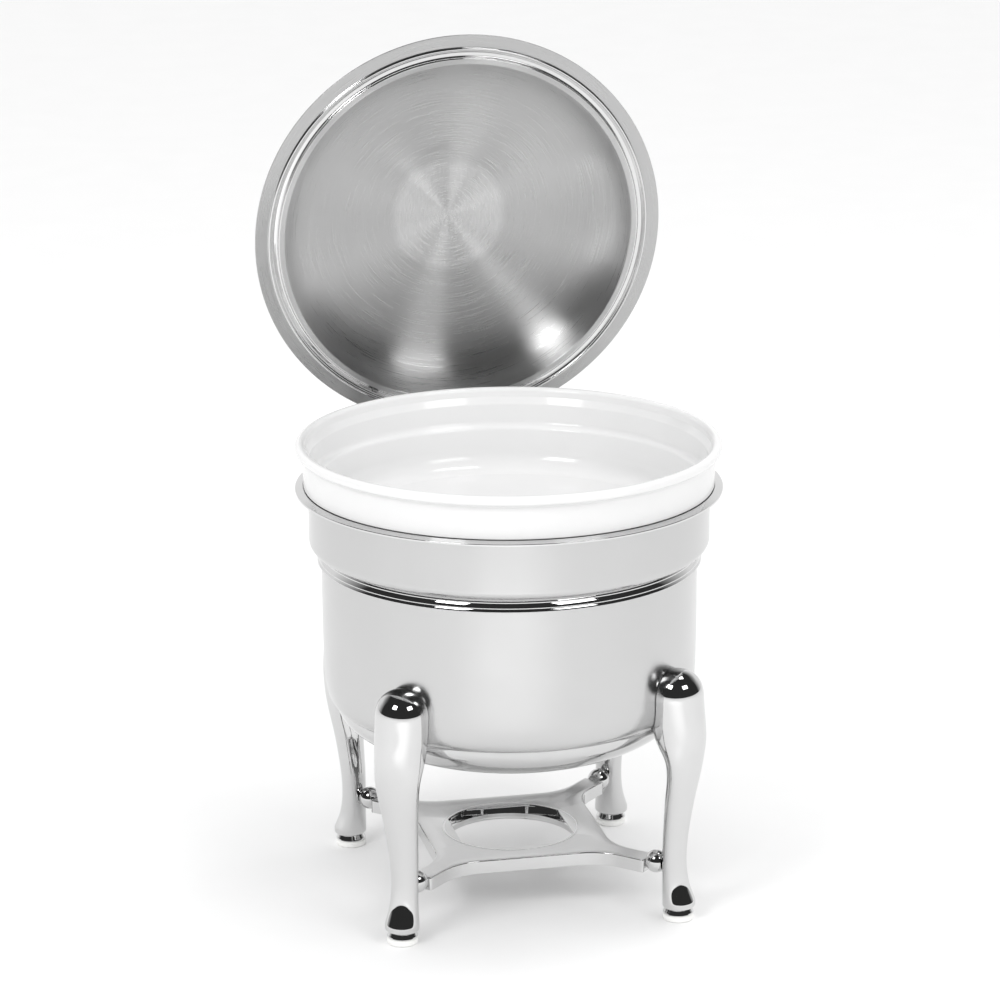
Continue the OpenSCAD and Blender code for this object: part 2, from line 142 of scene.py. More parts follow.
# %% Free curves
def hermite(x, knots, values):
    """Smooth values at x: on each stretch the cubic that meets both knots with, at each, the
    slope of the chord between its two neighbours; at the ends the slope is the last chord's."""
    k, v = np.asarray(knots, float), np.asarray(values, float)
    m = np.zeros_like(v)
    m[1:-1] = (v[2:] - v[:-2]) / (k[2:] - k[:-2]).reshape(-1, *[1] * (v.ndim - 1))
    m[0], m[-1] = (v[1] - v[0]) / (k[1] - k[0]), (v[-1] - v[-2]) / (k[-1] - k[-2])
    x = np.clip(x, k[0], k[-1])
    i = np.clip(np.searchsorted(k, x, side="right") - 1, 0, len(k) - 2)
    shape = (-1, *[1] * (v.ndim - 1))
    h = (k[i + 1] - k[i]).reshape(shape)
    t = ((x - k[i]).reshape(shape)) / h
    return (v[i] * (1 + 2 * t) * (1 - t) ** 2 + v[i + 1] * t * t * (3 - 2 * t)
            + h * m[i] * t * (1 - t) ** 2 - h * m[i + 1] * t * t * (1 - t))


def through(points, step=1.0):
    """A smooth line through points: hermite, with the distance along the chords as x."""
    p = np.array(points, float)
    d = np.concatenate([[0], np.cumsum(np.linalg.norm(np.diff(p, axis=0), axis=1))])
    return hermite(np.linspace(0, d[-1], int(d[-1] / step) + 2), d, p)


# %% Sheet thickness
def sheet(line, t):
    """A closed outline: the line, then the same line moved t along its left normal and read
    backwards. The left normal of a tangent (x, y) is (-y, x)."""
    moved = np.linalg.norm(np.diff(line, axis=0), axis=1) > 1e-6
    line = line[np.concatenate([[True], moved])]
    d = np.gradient(line, axis=0)
    d /= np.linalg.norm(d, axis=1)[:, None]
    other = line + t * np.stack([-d[:, 1], d[:, 0]], 1)
    other[:, 0] = np.maximum(other[:, 0], 0)
    return np.concatenate([line, other[::-1]])


# %% [markdown]
# ## From a grid of points to a piece
#
# Every new piece is a grid of points: rows along the profile, columns round the axis. The same
# function closes the grid where the profile meets itself, and closes it to one point where it
# meets the axis. It also stores two facts with each point that the finishes use later: the lathe
# coordinates of the point, which are its distance from the piece's own axis and its direction
# round it, so that a turning or brushing mark can follow the lathe wherever the piece is. The
# Spin tool or a Screw modifier would give the same surface, but not these coordinates.


# %% Closing and seating
def seat(name, mesh, body, node):
    """Closes poles and seams, puts the mesh in the scene and ties it to its body."""
    bm = bmesh.new()
    bm.from_mesh(mesh)
    bmesh.ops.remove_doubles(bm, verts=bm.verts, dist=1e-7)
    bmesh.ops.dissolve_degenerate(bm, edges=bm.edges, dist=1e-8)
    bmesh.ops.recalc_face_normals(bm, faces=bm.faces)
    bm.to_mesh(mesh)
    bm.free()
    o = bpy.data.objects.new(name, mesh)
    bpy.context.scene.collection.objects.link(o)
    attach(o, body)
    if node:
        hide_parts(*([node] if isinstance(node, str) else node))
    print(f"{name}: {len(mesh.polygons)} faces, on {body}")
    return o


# %% Grid to mesh
def piece(name, grid, body, finish, node=None, loop=True, lathe=None, groups=None,
          bands=()):
    """Builds a mesh from grid (rows, columns, 3) in mm. Columns always close; rows close if loop,
    or end in poles. lathe is (rows, columns, 3): distance from the axis, and the cosine and sine
    of the direction. groups is a list of 4 x 4 matrices, one for each copy. finish may be a
    list, whose next material starts at each row named in bands."""
    n, m = grid.shape[:2]
    i, j = np.meshgrid(np.arange(n if loop else n - 1), np.arange(m), indexing="ij")
    k, l = (i + 1) % n, (j + 1) % m
    quads = np.stack([i * m + j, i * m + l, k * m + l, k * m + j], -1).reshape(-1, 4)
    copies = [np.array(g) for g in (groups if groups is not None else [np.eye(4)])]
    flat = grid.reshape(-1, 3)
    points = np.concatenate([flat @ g[:3, :3].T + g[:3, 3] for g in copies])
    faces = np.concatenate([quads + c * n * m for c in range(len(copies))])
    mesh = bpy.data.meshes.new(name)
    mesh.from_pydata((points * MM).astype(float).tolist(), [], faces.tolist())
    if lathe is not None:
        spin = mesh.attributes.new("lathe", "FLOAT_VECTOR", "POINT")
        rows = np.tile(lathe.reshape(-1, 3), (len(copies), 1)).astype(np.float32)
        spin.data.foreach_set("vector", rows.ravel())
    uv = mesh.uv_layers.new(name="UVMap")
    corner = np.stack([np.stack([j, j + 1, j + 1, j], -1) / m,
                       np.stack([i, i, i + 1, i + 1], -1) / n], -1)
    corner = np.tile(corner.reshape(-1, 2), (len(copies), 1)).astype(np.float32)
    uv.data.foreach_set("uv", corner.ravel())
    mesh.polygons.foreach_set("use_smooth", np.ones(len(faces), bool))
    for f in finish if isinstance(finish, list) else [finish]:
        mesh.materials.append(f)
    band = np.searchsorted(np.array(bands, int), i.ravel(), side="right")
    mesh.polygons.foreach_set("material_index", np.tile(band, len(copies)).astype(np.int32))
    mesh.validate()
    mesh.update()
    return seat(name, mesh, body, node)


# %% Turning
def turned(name, outline, body, finish, node=None, loop=True, sides=192, move=None,
           groups=None, bands=()):
    """A surface of revolution: (r, z) goes to (r cos a, r sin a, z). move is a function on the
    finished points."""
    a = np.linspace(0, 2 * np.pi, sides, endpoint=False)
    r, z = outline[:, 0][:, None], outline[:, 1][:, None]
    grid = np.stack([r * np.cos(a), r * np.sin(a), z + 0 * a], -1)
    lathe = np.stack([r * MM + 0 * a, np.cos(a) + 0 * r, np.sin(a) + 0 * r], -1)
    if move is not None:
        grid = move(grid)
    return piece(name, grid, body, finish, node, loop, lathe, groups, bands)


def about_z(degrees, shift=0.0):
    """A 4 x 4 matrix: a shift along x, then a turn about z."""
    c, s = math.cos(math.radians(degrees)), math.sin(math.radians(degrees))
    return np.array([[c, -s, 0, shift * c], [s, c, 0, shift * s], [0, 0, 1, 0], [0, 0, 0, 1]])


FINE = 256  # columns round the large pieces
CORNERS = (45, 135, 225, 315)  # the four legs, in degrees from the right-hand side

# %% [markdown]
# ## Finishes
#
# The metal is stainless sheet and a nickel-chrome plating. Neither has a colour of its own to
# speak of: what the eye reads is how sharp the reflections are, and which way the polishing marks
# smear them. A flat grey would look like paint, so each finish starts from a metallic shader and
# gets its marks from the way it was polished. A painted image of scratches would do it too, but
# noise stretched along the lathe's coordinates needs no image and follows each piece exactly.
#
# Marks that run round the lathe smear a reflection across themselves, towards and away from the
# axis. The shader's tangent runs round the piece, so the anisotropy is turned by a quarter.

# %% Lathe marks
MARKS_PER_TURN = 2.2  # noise cells per unit of direction: each mark runs a good part of a turn
CLOUD_SCALE = 22.0  # buffing clouds, about 45 mm across


def metal(name, colours, rough, grain=None, brushed=0.0, cloud=0.0, scratch=0.0, disc=None):
    """Metal between two close colours. Its roughness is rough * (1 + cloud * noise), with noise
    between -1 and 1. grain is the spacing of the lathe marks in mm, brushed the share of smear
    across them, scratch how much they vary the roughness. disc is (radius in mm, colour, colour)
    of a middle that was brushed straight afterwards; its paler colour there is a painted highlight."""
    material, t = blank_material(name)
    coord = add(t, "ShaderNodeTexCoord")
    clouds = add(t, "ShaderNodeTexNoise", {"Vector": coord.outputs["Object"],
                                           "Scale": CLOUD_SCALE, "Detail": 3.0})
    sheen = add(t, "ShaderNodeMapRange", {"Value": clouds.outputs[0], "From Min": 0.3, "From Max": 0.7,
                                          "To Min": rough * (1 - cloud), "To Max": rough * (1 + cloud)})
    rough_out, bump = sheen.outputs[0], None
    if grain:
        lathe = add(t, "ShaderNodeAttribute", attribute_name="lathe")
        rings = add(t, "ShaderNodeMapping", {"Vector": lathe.outputs["Vector"],
                                             "Scale": (1 / (grain * MM), MARKS_PER_TURN, MARKS_PER_TURN)})
        marks = add(t, "ShaderNodeTexNoise", {"Vector": rings.outputs[0], "Scale": 1.0, "Detail": 4.0,
                                              "Roughness": 0.65})
        streak = add(t, "ShaderNodeMapRange", {"Value": marks.outputs[0], "From Min": 0.3, "From Max": 0.7,
                                               "To Min": 1 - scratch, "To Max": 1 + scratch})
        rough_out = add(t, "ShaderNodeMath", {0: sheen.outputs[0], 1: streak.outputs[0]},
                        operation="MULTIPLY").outputs[0]
        bump = add(t, "ShaderNodeBump", {"Height": marks.outputs[0], "Strength": 0.25 * scratch,
                                         "Distance": 0.0002})
    tone = add(t, "ShaderNodeMix", {0: clouds.outputs[0], 6: paint(colours[0]), 7: paint(colours[1])},
               data_type="RGBA")
    if disc:
        tone = brushed_middle_painted_highlight(t, coord, clouds, lathe, tone, disc)
    shader = add(t, "ShaderNodeBsdfPrincipled", {"Base Color": tone.outputs[2], "Metallic": 1.0,
                                                 "Roughness": rough_out})
    if bump:
        t.links.new(bump.outputs[0], shader.inputs["Normal"])
    if brushed:
        shader.inputs["Anisotropic"].default_value = brushed
        shader.inputs["Anisotropic Rotation"].default_value = 0.25
        around = add(t, "ShaderNodeTangent", direction_type="UV_MAP", uv_map="UVMap")
        t.links.new(around.outputs[0], shader.inputs["Tangent"])
    add(t, "ShaderNodeOutputMaterial", {"Surface": shader.outputs[0]})
    return material


# %% The middle of the lid, with a painted highlight
def brushed_middle_painted_highlight(t, coord, clouds, lathe, tone, disc):
    """Mixes a paler colour, a painted highlight, with straight marks 1.1 mm apart into tone, where the
    distance from the axis plus 8 mm of noise is under the disc's radius; the edge fades over 7 mm.
    The straight marks are the lid's own; the paler colour stands for the bright reflection there."""
    radius, dark, light = disc
    reach = add(t, "ShaderNodeSeparateXYZ", {0: lathe.outputs["Vector"]})
    ragged = add(t, "ShaderNodeMath", {0: clouds.outputs[0], 1: 8 * MM, 2: reach.outputs[0]},
                 operation="MULTIPLY_ADD")
    inside = add(t, "ShaderNodeMapRange", {"Value": ragged.outputs[0], "From Min": (radius + 8) * MM,
                                           "From Max": (radius + 1) * MM, "To Min": 0.0, "To Max": 1.0})
    upright = add(t, "ShaderNodeMapping", {"Vector": coord.outputs["Object"], "Scale": (900, 900, 30)})
    marks = add(t, "ShaderNodeTexNoise", {"Vector": upright.outputs[0], "Scale": 1.0, "Detail": 2.0})
    # painted highlight: the middle gets a paler colour than the rings, in place of the reflection that
    # shines there
    lighter = add(t, "ShaderNodeMix", {0: marks.outputs[0], 6: paint(dark), 7: paint(light)},
                  data_type="RGBA")
    return add(t, "ShaderNodeMix", {0: inside.outputs[0], 6: tone.outputs[2], 7: lighter.outputs[2]},
               data_type="RGBA")


# %% [markdown]
# The lathe marks are drawn about half a millimetre apart. Real ones are ten times finer and
# wouldn't show at this distance, so they are drawn as coarse as they need to be.
#
# - The drum's wall and the water pan were spun and then buffed with a soft wheel. They reflect as
#   a satin mirror, smeared up and down by a very faint round grain.
# - The inside of the lid was brushed on the lathe with a coarse cloth. It shows its rings, and
#   each lamp becomes a ray from the middle to the edge.
# - The lid's flange is the same sheet with a finer cloth, a quiet mid grey.
# - The drum's bottom and the lower plate were polished by hand, so they have no direction. The
#   bottom is nearly a mirror, and the plate only shines.
# - The mouth ring, the rolled edges and the well are full mirrors, which show black and white.
# - The legs, the balls and the hinge are castings under nickel and chrome, the brightest mirror.
# - The screws, studs, nuts and pins are plain turned steel, a dull grey.

# %% The steels and the plating
buffed_steel = metal("buffed_stainless_sheet", ("#c4c4c4", "#cacaca"), 0.22, grain=0.5, brushed=0.5,
                     cloud=0.12, scratch=0.1)
mirror_steel = metal("mirror_polished_stainless", ("#d2d2d2", "#dadada"), 0.035, cloud=0.3)
# the paler middle of 42 mm is a painted highlight; its straight brushing marks are real
lathe_brushed = metal("lathe_brushed_stainless", ("#c8c8c8", "#d0d0d0"), 0.33, grain=0.45, brushed=1.0,
                      cloud=0.08, scratch=0.3, disc=(42, "#d2d2d2", "#e8e8e8"))
bright_dish = metal("bright_spun_stainless", ("#cacaca", "#d2d2d2"), 0.09, cloud=0.2)
satin_flange = metal("satin_stainless_flange", ("#b0b0b0", "#bababa"), 0.3, grain=0.5, brushed=0.5,
                     cloud=0.1, scratch=0.2)
soft_polish = metal("soft_polished_stainless", ("#e8e8e8", "#ececec"), 0.42, cloud=0.1)
chrome = metal("bright_nickel_chrome_plate", ("#cecece", "#d7d7d7"), 0.03, cloud=0.3)
plain_steel = metal("plain_stainless_hardware", ("#a8a8a8", "#b6b6b6"), 0.24, cloud=0.2)
print("materials so far, with the frame's own:", len(bpy.data.materials))

# %% [markdown]
# Porcelain is a white body under a clear glaze of IOR 1.5 that is never quite level: fired glaze
# has a slow waviness of some millimetres, which a little bump gives, so that its highlights
# swim a little. The feet are white nylon, moulded with a fine matt grain, and the two stop pads
# are black rubber that hardly shines at all.


# %% Glaze, nylon and rubber
def moulded(name, colours, rough, wave_mm, bump):
    """A non-metal: two close tones mixed by slow noise, roughness varied by the same noise from
    0.85 to 1.15 of rough, and a bump of that strength whose waves are wave_mm long."""
    material, t = blank_material(name)
    coord = add(t, "ShaderNodeTexCoord")
    slow = add(t, "ShaderNodeTexNoise", {"Vector": coord.outputs["Object"], "Scale": 16.0, "Detail": 2.0})
    fine = add(t, "ShaderNodeTexNoise", {"Vector": coord.outputs["Object"], "Scale": 1 / (wave_mm * MM),
                                         "Detail": 2.0})
    tone = add(t, "ShaderNodeMix", {0: slow.outputs[0], 6: paint(colours[0]), 7: paint(colours[1])},
               data_type="RGBA")
    vary = add(t, "ShaderNodeMapRange", {"Value": slow.outputs[0], "To Min": rough * 0.85,
                                         "To Max": rough * 1.15})
    raised = add(t, "ShaderNodeBump", {"Height": fine.outputs[0], "Strength": bump, "Distance": 0.0003})
    shader = add(t, "ShaderNodeBsdfPrincipled", {"Base Color": tone.outputs[2], "IOR": 1.5,
                                                 "Roughness": vary.outputs[0], "Normal": raised.outputs[0]})
    add(t, "ShaderNodeOutputMaterial", {"Surface": shader.outputs[0]})
    return material


glaze = moulded("white_glazed_porcelain", ("#dfdfdf", "#e4e4e4"), 0.12, 9.0, 0.08)
nylon = moulded("white_moulded_nylon", ("#eeeeec", "#f4f4f2"), 0.4, 0.6, 0.3)
rubber = moulded("black_moulded_rubber", ("#141414", "#1d1d1d"), 0.65, 0.5, 0.5)

# %% [markdown]
# ## The drum
#
# The drum is a deep-drawn can of 1.5 mm sheet with a dished bottom welded in. Its wall is upright
# for most of its height and curls in at the bottom to a crease, below which the bottom is shaped
# like a saucer. A cylinder primitive with a bevel would miss that slow curl, so the outside line
# is drawn from the middle of the bottom to the mouth: a quarter of an ellipse, 126 mm by 40 mm,
# and a free curve from the crease to the upright wall.

# %% Drum
SHEET, DRUM_SHEET = 1.2, 1.5
CREASE_R, CREASE_Z, DISH = 126.0, 143.5, 40.0
DRUM_R, DRUM_TOP = 135.2, 250.0

a = np.linspace(0, np.pi / 2, 60)
dish = np.stack([CREASE_R * np.sin(a), CREASE_Z - DISH * np.cos(a)], 1)
wall = through([(CREASE_R, CREASE_Z), (CREASE_R + 3.6, CREASE_Z + 3.2), (CREASE_R + 6.4, CREASE_Z + 9),
                (CREASE_R + 8.2, CREASE_Z + 20), (DRUM_R - 0.3, CREASE_Z + 45), (DRUM_R, CREASE_Z + 70),
                (DRUM_R, DRUM_TOP)])
drum_line = np.concatenate([dish, wall[1:]])
turned("drum", sheet(drum_line, DRUM_SHEET), "base", [bright_dish, buffed_steel],
       ["drum_wall", "drum_bottom"], sides=FINE, bands=(len(dish) - 1,))

# %% [markdown]
# ## The mouth ring
#
# The drum's mouth is stiffened by a rolled ring with three steps. It is polished brighter than
# the wall. A polished face that leans back shows the dark room, and one that stands upright shows
# the white table, so each step is a leaning face with a slight belly, and the narrow turn under
# it draws a light line. That is why the ring reads as black bands with white lines between.


# %% Mouth ring
def step(r_in, top, r_out, bottom, bulge=0.16, n=10):
    """A leaning face with a slight belly: the straight run between its ends, with u from 0 to 1,
    plus 4 * bulge * u * (1 - u) outwards."""
    u = np.linspace(0, 1, n)[:, None]
    run = np.array([r_out - r_in, bottom - top])
    out = np.array([-run[1], run[0]]) / np.linalg.norm(run)
    return np.array([r_in, top]) + u * run + 4 * bulge * u * (1 - u) * out


mouth = np.concatenate([[(133.75, 250.02), (133.75, 259.9)], step(134.2, 259.9, 136.2, 256.5),
                        step(135.9, 256.3, 137.6, 252.7), step(137.3, 252.5, 138.4, 250.3),
                        [(138.2, 250.1), (135.6, 250.05), (135.3, 250.02)]])
turned("mouth_ring", mouth, "base", mirror_steel, "body_mouth_ring", sides=FINE)

# %% [markdown]
# ## The water pan
#
# The water pan hangs on the drum's mouth by a shoulder, and carries the food pan on its flange.
# It is drawn as its inside line with a bend radius at each corner and then given the thickness
# of its sheet. The flange ends in a bright lip that is turned down, which is a piece of its own
# so that it can be polished: it mirrors the white collar above it and ends in one thin dark line.

# %% Water pan
RIM_R, FLANGE_Z = 152.5, 305.0
WELL_R, WELL_Z, WATER_R, SHOULDER_Z = 131.5, 214.0, 144.0, 260.1

pan_line = bent([(0, WELL_Z, 0), (WELL_R, WELL_Z, 16), (WELL_R, SHOULDER_Z, 1.5),
                 (WATER_R, SHOULDER_Z, 8), (WATER_R, FLANGE_Z - SHEET, 1.5),
                 (RIM_R - 4.6, FLANGE_Z - SHEET, 0)])
turned("water_pan_body", sheet(pan_line, SHEET), "water", buffed_steel, "water_pan",
       sides=FINE)
lip = bent([(RIM_R - 5.6, FLANGE_Z + 0.02, 0), (RIM_R - 4.1, FLANGE_Z + 0.02, 2.0),
            (RIM_R + 0.9, FLANGE_Z - 1.3, 0.5), (RIM_R + 0.9, FLANGE_Z - 2.9, 0.3),
            (RIM_R - 0.1, FLANGE_Z - 2.9, 0.3), (RIM_R - 0.5, FLANGE_Z - 2.4, 0.5),
            (RIM_R - 4.3, FLANGE_Z - SHEET - 0.1, 1.0), (RIM_R - 5.6, FLANGE_Z - SHEET - 0.05, 0)],
           closed=True)
turned("water_pan_bead", lip, "water", mirror_steel, None, sides=FINE)

# %% [markdown]
# ## The food pan
#
# The food pan is porcelain, cast thick and glazed all over. Glaze rounds every corner, so this
# outline has generous radii even where the body is square. A soft ledge inside, under the collar,
# takes up the step between the collar and the narrower bowl that hangs in the water.

# %% Food pan
COLLAR_R, PAN_Z, FOOD_Z = 148.0, 305.2, 271.0

food = bent([(0, FOOD_Z, 0), (138.0, FOOD_Z, 17), (141.2, PAN_Z, 0.6), (COLLAR_R - 0.7, PAN_Z, 0.8),
             (COLLAR_R, 328.0, 1.0), (COLLAR_R + 0.6, 329.9, 0.6), (RIM_R + 0.3, 330.4, 2.4),
             (RIM_R + 0.3, 337.0, 3.2), (146.3, 337.0, 3.2), (145.6, 330.4, 1.6), (143.0, 325.0, 3),
             (142.3, 310.4, 5.0), (137.8, 307.8, 3.0), (135.1, FOOD_Z + 6, 17), (0, FOOD_Z + 6, 0)],
            step=4.0)
turned("food_pan_body", food, "food", glaze, "food_pan", loop=False, sides=FINE)

# %% [markdown]
# ## The lid
#
# The lid is one pressing. It is drawn closed, lying on the pan, and then turned about its hinge
# line to where it stands open, because a lathe profile is only simple while its axis is upright.
# From the middle outwards its inside line is a shallow dome, nearly flat in the middle and steep
# at its edge, a ledge that faces the pan, a polished cove, a small bead and the flat flange. The
# inside and the outside are one closed outline, and bands of rows take the different finishes.

# %% Hinge line
HINGE_Y, HINGE_Z, LID_OPEN = 150.5, 297.06, 81.74


def opened(p):
    """Turns points (..., 3) by -LID_OPEN degrees about the hinge line, which runs along x through
    (HINGE_Y, HINGE_Z): y goes to y cos + z sin, and z to z cos - y sin."""
    c, s = math.cos(math.radians(LID_OPEN)), math.sin(math.radians(LID_OPEN))
    y, z = p[..., 1] - HINGE_Y, p[..., 2] - HINGE_Z
    return np.stack([p[..., 0], HINGE_Y + y * c + z * s, HINGE_Z + z * c - y * s], -1)


# %% Lid outline
LID_Z, DOME_R, DOME_H, LID_R, FLAT_R = 337.9, 131.5, 41.0, 153.7, 145.6
NEARLY = 0.985  # stops the dome just short of its edge, where its slope would be vertical


def dome(radius, height, n=90):
    """Points (r, z) from the middle out, with z = height * (1 - (r / radius) ** 4) ** 0.5 above
    the ledge, and r = radius * sin u, so that they crowd together towards the steep edge."""
    r = radius * np.sin(np.linspace(0, 1, n) * np.pi / 2 * NEARLY)
    return np.stack([r, LID_Z - 2 + height * np.sqrt(1 - (r / radius) ** 4)], 1)


inner = dome(DOME_R, DOME_H)
outer = dome(DOME_R + SHEET, DOME_H + SHEET)[::-1]
shelf = bent([(*inner[-1], 0), (DOME_R + 0.2, LID_Z - 2.5, 1.5), (DOME_R + 4.7, LID_Z - 2.5, 0.8),
              (DOME_R + 6.0, LID_Z - 0.5, 1.6), (FLAT_R - 5.2, LID_Z - 0.2, 2.5),
              (FLAT_R - 3.9, LID_Z - 1.0, 0)])
bead = arc(FLAT_R - 2.5, LID_Z - 0.5, 1.15, 200, 340, 14)
rim = bent([(FLAT_R - 1.2, LID_Z + 0.02, 0), (FLAT_R - 0.9, LID_Z + 0.02, 0),
            (FLAT_R - 0.6, LID_Z + 0.02, 0), (LID_R, LID_Z + 0.02, 0.25), (LID_R, LID_Z + 0.6, 0)])
lid_in = np.concatenate([inner[:-1], shelf, bead, rim])
lid_edge = bent([(LID_R, LID_Z + 0.6, 0), (LID_R, LID_Z + SHEET, 0.25), (FLAT_R - 1, LID_Z + SHEET, 3),
                 (FLAT_R - 8, LID_Z + 1.0, 2), (DOME_R + SHEET + 0.6, LID_Z - 1.1, 1.0),
                 (*outer[0], 0)])
lid_line = np.concatenate([lid_in, lid_edge[1:], outer[1:]])

# %% Lid
cove = int(np.argmax(lid_in[:, 0] > DOME_R + 4.2))  # the first row past the ledge
flange = len(lid_in) - len(rim)
turned("lid_pressing", lid_line, "lid", [lathe_brushed, mirror_steel, satin_flange, buffed_steel],
       "lid_shell", loop=False, sides=FINE, move=opened,
       bands=(cove, flange, len(lid_in) - 2))

# %% [markdown]
# ## The legs
#
# Each leg is a hollow casting, plated bright. It is a stack of ellipses whose distance from the
# drum's axis, depth and width follow smooth curves through nine stations, from the foot to the
# knee, and the knee closes in a rounded cap. Sculpting it would work too, but a mirror finish
# shows every dent, and curves through a few stations can't dent. Where the knee seats on the drum
# it was ground to the drum's curve: any point that would be inside the drum is moved out to it.

# %% Leg stations
# height, distance of the ellipse's middle from the drum's axis, half depth, half width
STATIONS = np.array([[14, 143.3, 11.7, 12.6], [27, 140.6, 9.2, 10.8], [42, 139.4, 8.2, 10.3],
                     [60, 140.0, 8.3, 11.0], [86, 142.9, 9.3, 13.1], [119, 147.2, 11.6, 17.2],
                     [139, 143.4, 18.8, 18.0], [167, 140.6, 19.2, 19.2], [175, 140.6, 19.2, 19.2]])
CAP_Z, KNEE_TOP, GLIDE = 167, 188.0, 9.5
CAP_POWER = 2.3  # 2 would be a half ellipse, and more is squarer


# %% Leg surface
def leg_grid(sides=112):
    """Ellipses (d + a cos t, w sin t) at each height. Above CAP_Z both radii shrink by
    (1 - h ** p) ** (1 / p), with h from 0 to 1, and the lowest 2 mm shrink by up to 12 %."""
    rise = np.sin(np.linspace(0, np.pi / 2, 44)[1:])
    z = np.concatenate([np.linspace(GLIDE, GLIDE + 2, 6), np.linspace(GLIDE + 2.6, CAP_Z, 190),
                        CAP_Z + (KNEE_TOP - CAP_Z) * rise])
    d, depth, width = hermite(z, STATIONS[:, 0], STATIONS[:, 1:]).T
    h = np.clip((z - CAP_Z) / (KNEE_TOP - CAP_Z), 0, 1)
    cap = (1 - h**CAP_POWER) ** (1 / CAP_POWER)
    toe = 1 - 0.12 * np.clip((GLIDE + 2 - z) / 2, 0, 1) ** 2
    t = np.linspace(0, 2 * np.pi, sides, endpoint=False)
    scale = (cap * toe)[:, None]
    x = d[:, None] + depth[:, None] * scale * np.cos(t)
    y = width[:, None] * scale * np.sin(t)
    grid = np.stack([x, y, z[:, None] + 0 * t], -1)
    sole = grid[:1].copy()
    sole[..., :2] = sole[..., :2].mean(axis=1, keepdims=True)
    return np.concatenate([sole, grid])


def seated(grid, gap=0.15):
    """Moves each point above the crease that is inside the drum straight out to gap mm past the
    drum's line at its height: (x, y) times line / distance."""
    line = np.interp(grid[..., 2], drum_line[:, 1], drum_line[:, 0]) + gap
    here = np.hypot(grid[..., 0], grid[..., 1])
    push = np.where((grid[..., 2] > CREASE_Z) & (here < line), line / here, 1.0)
    return np.concatenate([grid[..., :2] * push[..., None], grid[..., 2:]], -1)


leg = seated(leg_grid())
for spot, turn in (("rear_right", 45), ("rear_left", 135), ("front_left", 225), ("front_right", 315)):
    piece("leg_" + spot + "_cast", leg, "base", chrome, "leg_" + spot, loop=False,
          groups=[about_z(turn)])

# %% [markdown]
# Under each leg a short steel collar, flared towards the floor, holds a round nylon pad. Four
# alike are one mesh with four copies, as they came in one node.

# %% Feet
FOOT_R = 142.8  # from the drum's axis

ferrule = bent([(0, 5.02, 0), (11.2, 5.02, 0.5), (10.9, 6.2, 0.6), (9.3, 9.48, 0.2), (0, 9.48, 0)])
pad = bent([(0, 0.01, 0), (11.0, 0.01, 1.5), (11.0, 5.0, 1.5), (0, 5.0, 0)])
feet = [about_z(turn, FOOT_R) for turn in CORNERS]
turned("foot_ferrule_rings", ferrule, "base", mirror_steel, "foot_ferrules",
       loop=False, sides=64, groups=feet)
turned("foot_pad_rounds", pad, "base", nylon, "foot_pads", loop=False, sides=64, groups=feet)

# %% [markdown]
# ## The lower plate
#
# The plate is a four-pointed star pressed from sheet: its edge is turned down 10 mm and its hole
# is drawn down into a well. Its outline is made of four concave arcs joined to four short arms.
# An outline that is extruded and bevelled would do, but the pressed edge is what catches the
# light, so here one section is carried round the outline: it starts at the hole, runs out along
# the top, rounds the edge, goes down the skirt and comes back inside.

# %% Plate outline
PLATE_Z, PLATE_S, ARM_W, ARM_L, ARM_F, SKIRT = 42.2, 64.4, 8.1, 118.0, 40.0, 10.0
HOLE_R, INSET = 49.3, 6.0  # past INSET from the edge, the section runs round the hole instead


def star(t, n=40):
    """The outline drawn in by t: from each side an arc of radius f + t turns out to an arm of
    half width w - t whose tip is l - t from the middle. The arc's centre is f + t beyond the
    side, on the line where it meets the arm."""
    s, w, f, l = PLATE_S - t, ARM_W - t, ARM_F + t, ARM_L - t
    c, q = s + f - w * math.sqrt(2) - f * math.sqrt(2), math.sqrt(0.5)
    a = np.radians(270 + np.linspace(0, 45, n))
    side = np.stack([c + f * np.cos(a), s + f + f * np.sin(a)], 1)
    tip_way = np.array([[2 * w * q, -2 * w * q]])
    tip = np.linspace(0, 1, 9)[:, None] * tip_way + [[(l - w) * q, (l + w) * q]]
    arm_up = side[-1] + np.linspace(0, 1, 10)[1:-1, None] * (tip[0] - side[-1])
    first = np.concatenate([side, arm_up, tip])
    quarter = np.concatenate([first, first[::-1][9:, ::-1]])
    quarters = []
    for b in (0, math.pi / 2, math.pi, 3 * math.pi / 2):
        quarters.append(quarter @ np.array([[math.cos(b), -math.sin(b)], [math.sin(b), math.cos(b)]]))
    return np.concatenate(quarters)


# %% Plate
section = bent([(30.0, 0, 0), (0, 0, 1.1), (0, -SKIRT, 0.3), (SHEET, -SKIRT, 0.3),
                (SHEET, -SHEET, 0.6), (30.0, -SHEET, 0)])
rows = []
for t, dz in section:
    line = star(min(t, INSET))
    if t > INSET:
        line = line * (HOLE_R / np.linalg.norm(line, axis=1))[:, None]
    rows.append(np.concatenate([line, np.full((len(line), 1), PLATE_Z + dz)], 1))
edge_row = int(np.argmax(section[:, 1] < -0.25))
piece("plate_pressing", np.array(rows), "base", [soft_polish, mirror_steel], "fuel_plate",
      bands=(edge_row,))

# %% [markdown]
# The well is drawn down through the hole with a lightly tapered wall and a bead rolled outwards
# at its foot. The taper leans back, so the far side of the well shows the dark room as a band.

# %% Well
drawn = bent([(49.3, PLATE_Z + 0.06, 0), (48.4, PLATE_Z + 0.02, 0.7), (47.5, PLATE_Z - 3.6, 0),
              (47.4, PLATE_Z - 3.9, 0), (46.6, PLATE_Z - 7.4, 0.8), (46.6, PLATE_Z - 9.4, 0)])
well = np.concatenate([[(49.7, PLATE_Z + 0.04)], drawn, arc(47.8, PLATE_Z - 10.8, 1.25, 165, 380, 26),
                       [(47.9, PLATE_Z - 9.3), (47.9, PLATE_Z - 1.4), (49.7, PLATE_Z - 0.1)]])
turned("well_wall", well, "base", mirror_steel, "fuel_well_ring", sides=192)

